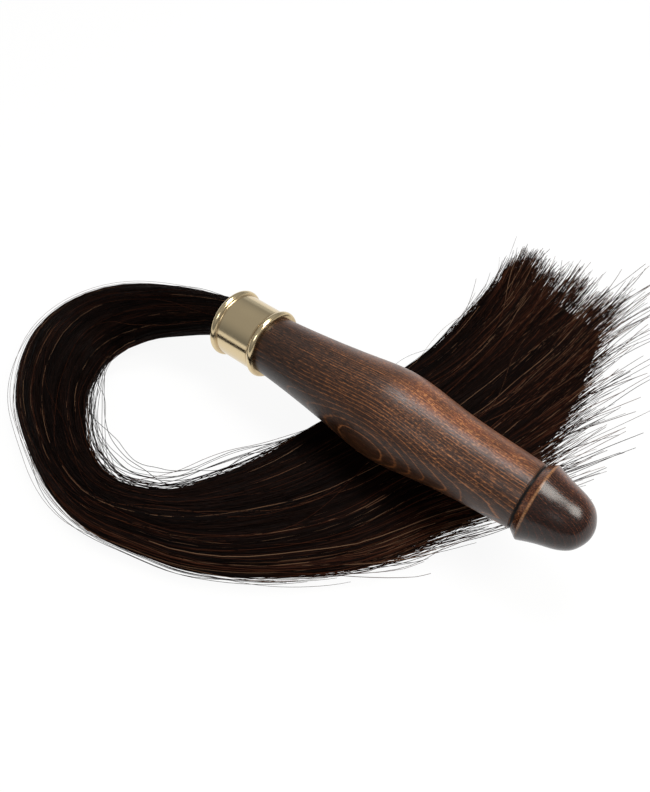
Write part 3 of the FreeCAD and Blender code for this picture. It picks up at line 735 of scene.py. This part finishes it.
def hairSway(tree, given, number, u, angle, depth, cosine, sine, section):
    # The hair's angle and depth after the sway of its lock and its own, and the noise of both
    lockAcross = addNode(tree, "ShaderNodeMath", [cosine, tress["lockWaves"]], operation="MULTIPLY")
    lockUp = addNode(tree, "ShaderNodeMath", [sine, tress["lockWaves"]], operation="MULTIPLY")
    lockAlong = addNode(tree, "ShaderNodeMath", [u, tress["lockWavesAlong"]], operation="MULTIPLY")
    lockAt = addNode(tree, "ShaderNodeCombineXYZ", {"X": lockAcross, "Y": lockUp, "Z": lockAlong})
    lockNoise = addNode(tree, "ShaderNodeTexNoise", {"Vector": lockAt, "Scale": 1.0, "Detail": 2.5})
    lock = addNode(tree, "ShaderNodeSeparateXYZ", {"Vector": lockNoise.outputs["Color"]}).outputs
    ownNumber = addNode(tree, "ShaderNodeMath", [number, 3.173], operation="MULTIPLY")      # any uneven step
    ownAlong = addNode(tree, "ShaderNodeMath", [u, tress["ownWavesAlong"]], operation="MULTIPLY")
    ownAt = addNode(tree, "ShaderNodeCombineXYZ", {"X": ownNumber, "Y": ownAlong, "Z": 0.37})
    ownNoise = addNode(tree, "ShaderNodeTexNoise", {"Vector": ownAt, "Scale": 1.0, "Detail": 1.0})
    own = addNode(tree, "ShaderNodeSeparateXYZ", {"Vector": ownNoise.outputs["Color"]}).outputs
    lockSide = addNode(tree, "ShaderNodeMath", [lock["X"], 0.5], operation="SUBTRACT")
    sway = addNode(tree, "ShaderNodeMath", [lockSide, given["Lock Sway"]], operation="MULTIPLY")
    ownSide = addNode(tree, "ShaderNodeMath", [own["X"], 0.5], operation="SUBTRACT")
    sway = addNode(tree, "ShaderNodeMath", [ownSide, given["Own Sway"], sway], operation="MULTIPLY_ADD")
    swayWidth = addNode(tree, "ShaderNodeMath", [sway, 2 * mm], operation="MULTIPLY")
    swayAngle = addNode(tree, "ShaderNodeMath", [swayWidth, section["X"]], operation="DIVIDE")
    swayed = addNode(tree, "ShaderNodeMath", [angle, swayAngle], operation="ADD")
    lockHeight = addNode(tree, "ShaderNodeMath", [lock["Y"], 0.5], operation="SUBTRACT")
    lifted = addNode(tree, "ShaderNodeMath", [lockHeight, given["Lock Lift"], depth],
                     operation="MULTIPLY_ADD")
    ownHeight = addNode(tree, "ShaderNodeMath", [own["Y"], 0.5], operation="SUBTRACT")
    lifted = addNode(tree, "ShaderNodeMath", [ownHeight, given["Own Lift"], lifted], operation="MULTIPLY_ADD")
    return swayed, lifted, lock, own


def standOff(tree, given, u, three, own):
    # How far a loose hair stands off the bundle in mm, and the share of the way it has left it
    pastStart = addNode(tree, "ShaderNodeMath", [u, given["Off From"]], operation="SUBTRACT")
    rise = addNode(tree, "ShaderNodeMapRange", [pastStart, 0.0, tress["leaveLength"]],
                   interpolation_type="SMOOTHSTEP")
    beforeEnd = addNode(tree, "ShaderNodeMath", [given["Off To"], u], operation="SUBTRACT")
    fall = addNode(tree, "ShaderNodeMapRange", [beforeEnd, 0.0, tress["leaveLength"]],
                   interpolation_type="SMOOTHSTEP")
    offWindow = addNode(tree, "ShaderNodeMath", [rise, fall], operation="MULTIPLY")
    offChance = addNode(tree, "ShaderNodeMath", [three["Z"], 2.0], operation="POWER")
    offShare = addNode(tree, "ShaderNodeMath", [offWindow, offChance], operation="MULTIPLY")
    offMost = addNode(tree, "ShaderNodeMath", [offShare, given["Stand Off"]], operation="MULTIPLY")
    offWave = addNode(tree, "ShaderNodeMapRange", [own["Z"], 0.42, 0.66, 0.0, 1.5],
                      interpolation_type="SMOOTHSTEP")
    return rise, addNode(tree, "ShaderNodeMath", [offMost, offWave], operation="MULTIPLY")


def hairSplay(tree, given, cosine, three):
    # How far the hair's tip turns out across the fan, in mm
    outerSide = addNode(tree, "ShaderNodeMath", [cosine, 0.0], operation="MINIMUM")
    fromMiddle = addNode(tree, "ShaderNodeMath", [cosine], operation="ABSOLUTE")
    outer = addNode(tree, "ShaderNodeMath", [outerSide, fromMiddle], operation="MULTIPLY")
    splayMiddle, splaySlant, splayOuter = tress["splay"]
    splay = addNode(tree, "ShaderNodeMath", [cosine, splaySlant, splayMiddle], operation="MULTIPLY_ADD")
    splay = addNode(tree, "ShaderNodeMath", [outer, splayOuter, splay], operation="MULTIPLY_ADD")
    splay = addNode(tree, "ShaderNodeMath", [splay, given["Splay"]], operation="MULTIPLY")
    scatterSide = addNode(tree, "ShaderNodeMath", [three["X"], 0.5], operation="SUBTRACT")
    return addNode(tree, "ShaderNodeMath", [scatterSide, given["Scatter"], splay],
                   operation="MULTIPLY_ADD")


def hairShade(tree, given, cosine, two, three, toTip, lock):
    # Mostly black, some brown, a few light, browner towards the tips and along the outer side
    rare = addNode(tree, "ShaderNodeMath", [two["Y"], given["Light Hairs"]], operation="POWER")
    tipWear = addNode(tree, "ShaderNodeMapRange",
                      [toTip, *hairColour["tipWorn"], 0.0, hairColour["tipShade"]],
                      interpolation_type="SMOOTHSTEP")
    wearChance = addNode(tree, "ShaderNodeMath", [two["Z"], 1.4], operation="POWER")
    worn = addNode(tree, "ShaderNodeMath", [tipWear, wearChance], operation="MULTIPLY")
    outerFade = addNode(tree, "ShaderNodeMapRange", [cosine, -0.55, -0.95, 0.0, hairColour["outerShade"]],
                        interpolation_type="SMOOTHSTEP")
    faded = addNode(tree, "ShaderNodeMath", [outerFade, three["Y"]], operation="MULTIPLY")
    lockTone = addNode(tree, "ShaderNodeMath", [lock["Z"], 0.5], operation="SUBTRACT")
    lockShade = addNode(tree, "ShaderNodeMath", [lockTone, hairColour["lockShade"]], operation="MULTIPLY")
    ownShade = addNode(tree, "ShaderNodeMapRange", [three["Y"], 0.0, 1.0, *hairColour["ownShade"]])
    wornOrFaded = addNode(tree, "ShaderNodeMath", [worn, faded], operation="MAXIMUM")
    ownLight = addNode(tree, "ShaderNodeMath", [rare, wornOrFaded], operation="ADD")
    toneShift = addNode(tree, "ShaderNodeMath", [lockShade, ownShade], operation="ADD")
    return addNode(tree, "ShaderNodeMath", [ownLight, toneShift], operation="ADD")


def makeHairTree(material):
    # Each hair runs along the guide at its own angle round the section and its own depth. Locks sway together
    # and each hair wanders a little. Towards the tips the hairs gather into tufts, thin out and splay.
    tree = bpy.data.node_groups.new("hairTress", "GeometryNodeTree")
    face = tree.interface
    face.new_socket("Guide", in_out="INPUT", socket_type="NodeSocketGeometry")
    sizes = ("From", "To", "Thickness", "Angle From", "Angle To", "Inner Layer", "Outer Layer", "Lock Sway",
             "Lock Lift", "Own Sway", "Own Lift", "Stand Off", "Off From", "Off To", "Splay", "Scatter",
             "Cut", "Shortest", "Light Hairs")
    for name in sizes:
        face.new_socket(name, in_out="INPUT", socket_type="NodeSocketFloat")
    for name in ("Hairs", "First Hair", "Points", "Seed"):
        face.new_socket(name, in_out="INPUT", socket_type="NodeSocketInt")
    face.new_socket("Hair", in_out="OUTPUT", socket_type="NodeSocketGeometry")
    given = addNode(tree, "NodeGroupInput").outputs

    guide = addNode(tree, "GeometryNodeMeshToCurve", {"Mesh": given["Guide"]})
    size = addNode(tree, "GeometryNodeInputNamedAttribute", {"Name": "size"}, data_type="FLOAT_VECTOR")
    shift = addNode(tree, "GeometryNodeInputNamedAttribute", {"Name": "shift"}, data_type="FLOAT")
    straight = addNode(tree, "GeometryNodeCurvePrimitiveLine", {"Start": (0, 0, 0), "End": (1, 0, 0)})
    pointed = addNode(tree, "GeometryNodeResampleCurve", {"Curve": straight, "Count": given["Points"]})
    many = addNode(tree, "GeometryNodeDuplicateElements", {"Geometry": pointed, "Amount": given["Hairs"]},
                   domain="SPLINE")
    number = addNode(tree, "ShaderNodeMath", [many.outputs["Duplicate Index"], given["First Hair"]],
                     operation="ADD")
    along = addNode(tree, "GeometryNodeSplineParameter")

    one, two, three = hairChances(tree, given["Seed"], number)
    degrees = addNode(tree, "ShaderNodeMapRange",
                      [one["X"], 0.0, 1.0, given["Angle From"], given["Angle To"]])
    angle = addNode(tree, "ShaderNodeMath", [degrees], operation="RADIANS")
    depth = addNode(tree, "ShaderNodeMapRange",
                    [one["Y"], 0.0, 1.0, given["Inner Layer"], given["Outer Layer"]])
    cosine = addNode(tree, "ShaderNodeMath", [angle], operation="COSINE")
    sine = addNode(tree, "ShaderNodeMath", [angle], operation="SINE")
    tuftMiddle, tuftChance = hairTufts(tree, cosine, one)
    tip = hairTip(tree, given, cosine, two, tuftChance)
    stop = addNode(tree, "ShaderNodeMath", [given["To"], tip], operation="MINIMUM")
    u = addNode(tree, "ShaderNodeMapRange", {"Value": along.outputs["Factor"], "To Min": given["From"],
                                             "To Max": stop}, clamp=False)
    toTip = addNode(tree, "ShaderNodeMath", [tip, u], operation="SUBTRACT")

    # the section here: half width, half height and centre height
    fromInside = addNode(tree, "ShaderNodeMath", [u, tress["inside"]], operation="ADD")
    start = addNode(tree, "ShaderNodeMath", [fromInside, mm], operation="MULTIPLY")
    there = addNode(tree, "GeometryNodeSampleCurve", {"Curves": guide, "Value": size, "Length": start},
                    data_type="FLOAT_VECTOR", mode="LENGTH")
    section = addNode(tree, "ShaderNodeSeparateXYZ", {"Vector": there.outputs["Value"]}).outputs
    shifted = addNode(tree, "GeometryNodeSampleCurve", {"Curves": guide, "Value": shift, "Length": start},
                      data_type="FLOAT", mode="LENGTH")
    side = addNode(tree, "ShaderNodeVectorMath", [(0, 0, 1), there.outputs["Tangent"]],
                   operation="CROSS_PRODUCT")
    swayed, lifted, lock, own = hairSway(tree, given, number, u, angle, depth, cosine, sine, section)

    # across: the section's share, then stand-off, tuft, splay and scatter
    swayedCosine = addNode(tree, "ShaderNodeMath", [swayed], operation="COSINE")
    acrossShare = addNode(tree, "ShaderNodeMath", [swayedCosine, lifted], operation="MULTIPLY")
    halfWidth = addNode(tree, "ShaderNodeMath", [section["X"], mm], operation="DIVIDE")
    across = addNode(tree, "ShaderNodeMath", [acrossShare, halfWidth, shifted], operation="MULTIPLY_ADD")
    rise, off = standOff(tree, given, u, three, own)
    across = addNode(tree, "ShaderNodeMath", [off, cosine, across], operation="MULTIPLY_ADD")
    toTuft = addNode(tree, "ShaderNodeMath", [tuftMiddle, cosine], operation="SUBTRACT")
    pull = addNode(tree, "ShaderNodeMath", [toTuft, halfWidth], operation="MULTIPLY")
    tipShare = addNode(tree, "ShaderNodeMapRange", [toTip, tress["tuftLength"], 0.0],
                       interpolation_type="SMOOTHSTEP")
    gathered = addNode(tree, "ShaderNodeMath", [pull, tress["tuftGather"]], operation="MULTIPLY")
    across = addNode(tree, "ShaderNodeMath", [gathered, tipShare, across], operation="MULTIPLY_ADD")
    splay = hairSplay(tree, given, cosine, three)
    turnShare = addNode(tree, "ShaderNodeMapRange", [toTip, tress["splayLength"], 0.0])
    turnOut = addNode(tree, "ShaderNodeMath", [turnShare, 2.0], operation="POWER")
    splayed = addNode(tree, "ShaderNodeMath", [splay, rise], operation="MULTIPLY")
    across = addNode(tree, "ShaderNodeMath", [splayed, turnOut, across], operation="MULTIPLY_ADD")
    across = addNode(tree, "ShaderNodeMath", [across, mm], operation="MULTIPLY")

    # height: never above the section's top, never in the table
    swayedSine = addNode(tree, "ShaderNodeMath", [swayed], operation="SINE")
    liftedSine = addNode(tree, "ShaderNodeMath", [swayedSine, lifted], operation="MULTIPLY")
    upShare = addNode(tree, "ShaderNodeMath", [liftedSine, 1.0], operation="MINIMUM")
    height = addNode(tree, "ShaderNodeMath", [upShare, section["Y"], section["Z"]], operation="MULTIPLY_ADD")
    height = addNode(tree, "ShaderNodeMath", [height, tress["leastHeight"] * mm], operation="MAXIMUM")
    spread = addNode(tree, "ShaderNodeVectorMath", {0: side, "Scale": across}, operation="SCALE")
    placed = addNode(tree, "ShaderNodeVectorMath", [there.outputs["Position"], spread], operation="ADD")
    upward = addNode(tree, "ShaderNodeCombineXYZ", {"Z": height})
    final = addNode(tree, "ShaderNodeVectorMath", [placed, upward], operation="ADD")
    laid = addNode(tree, "GeometryNodeSetPosition",
                   {"Geometry": many.outputs["Geometry"], "Position": final})

    shade = hairShade(tree, given, cosine, two, three, toTip, lock)
    shaded = addNode(tree, "GeometryNodeStoreNamedAttribute",
                     {"Geometry": laid, "Name": "hairShade", "Value": shade},
                     data_type="FLOAT", domain="POINT")
    taper = addNode(tree, "ShaderNodeMapRange", [toTip, tress["taperLength"], 0.0, 1.0, tress["taperTo"]])
    thickShare = addNode(tree, "ShaderNodeMapRange", [one["Z"], 0.0, 1.0, *tress["radiusShares"]])
    radius = addNode(tree, "ShaderNodeMath", [given["Thickness"], thickShare], operation="MULTIPLY")
    tapered = addNode(tree, "ShaderNodeMath", [radius, taper], operation="MULTIPLY")
    radius = addNode(tree, "ShaderNodeMath", [tapered, mm], operation="MULTIPLY")
    profile = addNode(tree, "GeometryNodeCurvePrimitiveCircle", {"Resolution": 3, "Radius": 1.0})
    tubes = addNode(tree, "GeometryNodeCurveToMesh",
                    {"Curve": shaded, "Profile Curve": profile, "Scale": radius, "Fill Caps": True})
    smooth = addNode(tree, "GeometryNodeSetShadeSmooth", {"Geometry": tubes, "Shade Smooth": True})
    real = addNode(tree, "GeometryNodeRealizeInstances", {"Geometry": smooth})
    finished = addNode(tree, "GeometryNodeSetMaterial", {"Geometry": real, "Material": material})
    addNode(tree, "NodeGroupOutput", {"Hair": finished})
    return tree


def growHairs(name, guide, tree, inputs):
    # Runs the tree on the guide with these inputs and returns the result as a plain mesh piece
    modifier = guide.modifiers.new("hairs", "NODES")
    modifier.node_group = tree
    for socket in tree.interface.items_tree:
        if socket.in_out == "INPUT" and socket.socket_type == "NodeSocketInt":
            modifier[socket.identifier] = int(inputs[socket.name])
        elif socket.in_out == "INPUT" and socket.socket_type == "NodeSocketFloat":
            modifier[socket.identifier] = float(inputs.get(socket.name, 0.0))
    guide.update_tag()
    bpy.context.view_layer.update()
    mesh = bpy.data.meshes.new_from_object(guide.evaluated_get(bpy.context.evaluated_depsgraph_get()))
    guide.modifiers.remove(modifier)
    mesh.name = name
    piece = bpy.data.objects.new(name, mesh)
    scene.collection.objects.link(piece)
    return piece


def makeCore(name, first, last, material, share=0.78):
    # Closed oval under the hairs in painted shade, from first to last mm along the tress; stops short in the
    # fan
    turns = 48
    angles = np.linspace(0, 2 * math.pi, turns, endpoint=False)
    across, up = share * np.cos(angles), share * np.sin(angles)
    fanLike = last > tress["tipMiddle"]
    ends = np.minimum(last, tipAt(across) - tress["coreShort"]) if fanLike else np.full(turns, float(last))
    rings = max(3, math.ceil((last - first) / 3))
    points, alongs, rounds = [], [], []
    for k in range(rings + 1):
        f = k / rings
        u = first + f * (ends - first)
        thinned = max(0.0, (f - tress["coreThinFrom"]) / (1 - tress["coreThinFrom"])) if fanLike else 0.0
        thin = 1 - tress["coreThin"] * thinned ** 2
        splayed = np.zeros(turns)
        if fanLike:
            turnOut = np.clip(1 - (tipAt(across) - u) / tress["splayLength"], 0, 1) ** 2
            splayed = splayAt(across) * turnOut / np.interp(u, route[:, 0], route[:, 4])
        points += list(onRoute(u, across + splayed, up * thin - tress["coreSink"] * (1 - thin)))
        alongs += list(u * mm)
        rounds += list(angles)
    faces = []
    for k in range(rings):
        for j in range(turns):
            a, b = k * turns + j, k * turns + (j + 1) % turns
            faces.append((a, a + turns, b + turns, b))
    faces.append(tuple(range(turns)))
    faces.append(tuple(rings * turns + j for j in reversed(range(turns))))
    core = meshObject(name, points, faces, material, smooth=True)
    for key, data in (("alongTress", alongs), ("roundTress", rounds)):
        attribute = core.data.attributes.new(key, "FLOAT", "POINT")
        attribute.data.foreach_set("value", np.array(data, np.float32))
    return core


def bendBetween(piece, key, first, last, before, after):
    # Works out the piece's turning zone along its hinge, with both of its end planes outside it, and bakes
    # its placement
    hinge = next(j for j in frame["joints"] if j["parent"] == before and j["child"] == after)
    pivot = np.array(hinge["pos_m"])
    heading = float(np.interp(tress["bendMiddles"][key], route[:, 0], route[:, 3]))
    toward = np.array([math.cos(heading), math.sin(heading), 0.0])
    edge = np.array([-tress["bendMargin"], tress["bendMargin"]])
    low = float(((onRoute(np.full(2, float(first)), edge, np.zeros(2)) - pivot) @ toward).max())
    high = float(((onRoute(np.full(2, float(last)), edge, np.zeros(2)) - pivot) @ toward).min())
    least = tress["leastBend"] * mm
    if high - low < least:
        middle = (high + low) / 2
        low, high = middle - least / 2, middle + least / 2
    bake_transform(piece)
    return low, high


def makeTress():
    hairMaterial = horsehair(hairColour)
    coreMaterial = hairMass(hairColour)
    tree = makeHairTree(hairMaterial)
    guide = makeGuide()
    for key, (first, last, before, after, nodes) in tress["lengths"].items():
        made = [makeCore("hair_core_" + key, first, last, coreMaterial)]
        for kind, settings in hairs.items():
            if key not in settings["lengths"]:
                continue
            step = hairStep[key] * (1.0 if kind == "body" else 0.5)
            points = max(4, math.ceil((last - first) / step) + 1)
            trianglesEach = 6 * points - 4           # a tube of three sides with capped ends
            parts = math.ceil(settings["Hairs"] * trianglesEach / mostTriangles)
            each = settings["Hairs"] // parts
            for part in range(parts):
                inputs = {k: v for k, v in settings.items() if k != "lengths"}
                inputs.update({"Hairs": each, "First Hair": part * each, "Points": points,
                               "From": float(first), "To": float(last)})
                suffix = key + ("_" + str(part + 1) if parts > 1 else "")
                made.append(growHairs("hair_" + kind + "_" + suffix, guide, tree, inputs))
        for piece in made:
            if after is None:
                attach(piece, before)
            else:
                span = bendBetween(piece, key, first, last, before, after)
            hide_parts(*nodes)
        faces = sum(len(p.data.polygons) * 2 for p in made)
        print("tress length", key, "pieces", len(made), "triangles about", faces,
              "" if after is None else "turning zone %.1f to %.1f mm" % (span[0] / mm, span[1] / mm))
    bpy.data.objects.remove(guide)


# the three pieces hidden in the socket
hiddenColour = {"rootHair": "#1a0f0a", "thread": "#c8b48a", "pitch": "#2a1608"}


def boundRoot(values):
    # The same hair, cut square and packed: dull ends and streaks along the axis
    material, tree = newMaterial("boundHairRoot")
    axis = turnedAxis(tree, handleWood)
    stretched = addNode(tree, "ShaderNodeMapping", {"Vector": axis, "Scale": (60, 2600, 2600)})
    streak = addNode(tree, "ShaderNodeTexNoise", {"Vector": stretched, "Scale": 1.0, "Detail": 3.0})
    colour = setRamp(addNode(tree, "ShaderNodeValToRGB", {"Fac": streak}),
                     [(0.3, "#070404"), (0.8, values["rootHair"])])
    shader = addNode(tree, "ShaderNodeBsdfPrincipled", {"Base Color": colour, "Roughness": 0.6})
    addNode(tree, "ShaderNodeOutputMaterial", {"Surface": shader})
    return material


def waxedThread(values):
    # Linen thread rubbed with beeswax: twisted, cream to tan, low sheen
    material, tree = newMaterial("waxedLinenThread")
    axis = turnedAxis(tree, handleWood)
    twist = addNode(tree, "ShaderNodeTexWave",
                    {"Vector": axis, "Scale": 420.0, "Distortion": 3.0, "Detail": 2.0},
                    bands_direction="DIAGONAL")
    colour = setRamp(addNode(tree, "ShaderNodeValToRGB", {"Fac": twist}),
                     [(0.1, "#8d7550"), (0.8, values["thread"])])
    bump = addNode(tree, "ShaderNodeBump", {"Strength": 0.3, "Distance": 0.1 * mm, "Height": twist})
    shader = addNode(tree, "ShaderNodeBsdfPrincipled",
                     {"Base Color": colour, "Roughness": 0.5, "Normal": bump})
    addNode(tree, "ShaderNodeOutputMaterial", {"Surface": shader})
    return material


def settingPitch(values):
    # Brush-maker's pitch, poured hot: dark amber brown, glossy, with small ripples
    material, tree = newMaterial("settingPitch")
    axis = turnedAxis(tree, handleWood)
    ripple = addNode(tree, "ShaderNodeTexNoise", {"Vector": axis, "Scale": 300.0, "Detail": 2.0})
    colour = setRamp(addNode(tree, "ShaderNodeValToRGB", {"Fac": ripple}),
                     [(0.2, "#140a04"), (0.8, values["pitch"])])
    bump = addNode(tree, "ShaderNodeBump", {"Strength": 0.2, "Distance": 0.2 * mm, "Height": ripple})
    shader = addNode(tree, "ShaderNodeBsdfPrincipled",
                     {"Base Color": colour, "Roughness": 0.2, "Normal": bump})
    addNode(tree, "ShaderNodeOutputMaterial", {"Surface": shader})
    return material


def finishNode(name, material):
    node = frame["nodes"][name]
    node.data.materials.clear()
    node.data.materials.append(material)


finishNode("handle", stainedBeech(handleWood))
finishNode("ferrule", polishedBrass(ferruleBrass))
finishNode("hair_root", boundRoot(hiddenColour))
finishNode("root_whipping", waxedThread(hiddenColour))
finishNode("root_pitch", settingPitch(hiddenColour))
print("turned pieces finished")

makeTress()
print("tress laid")
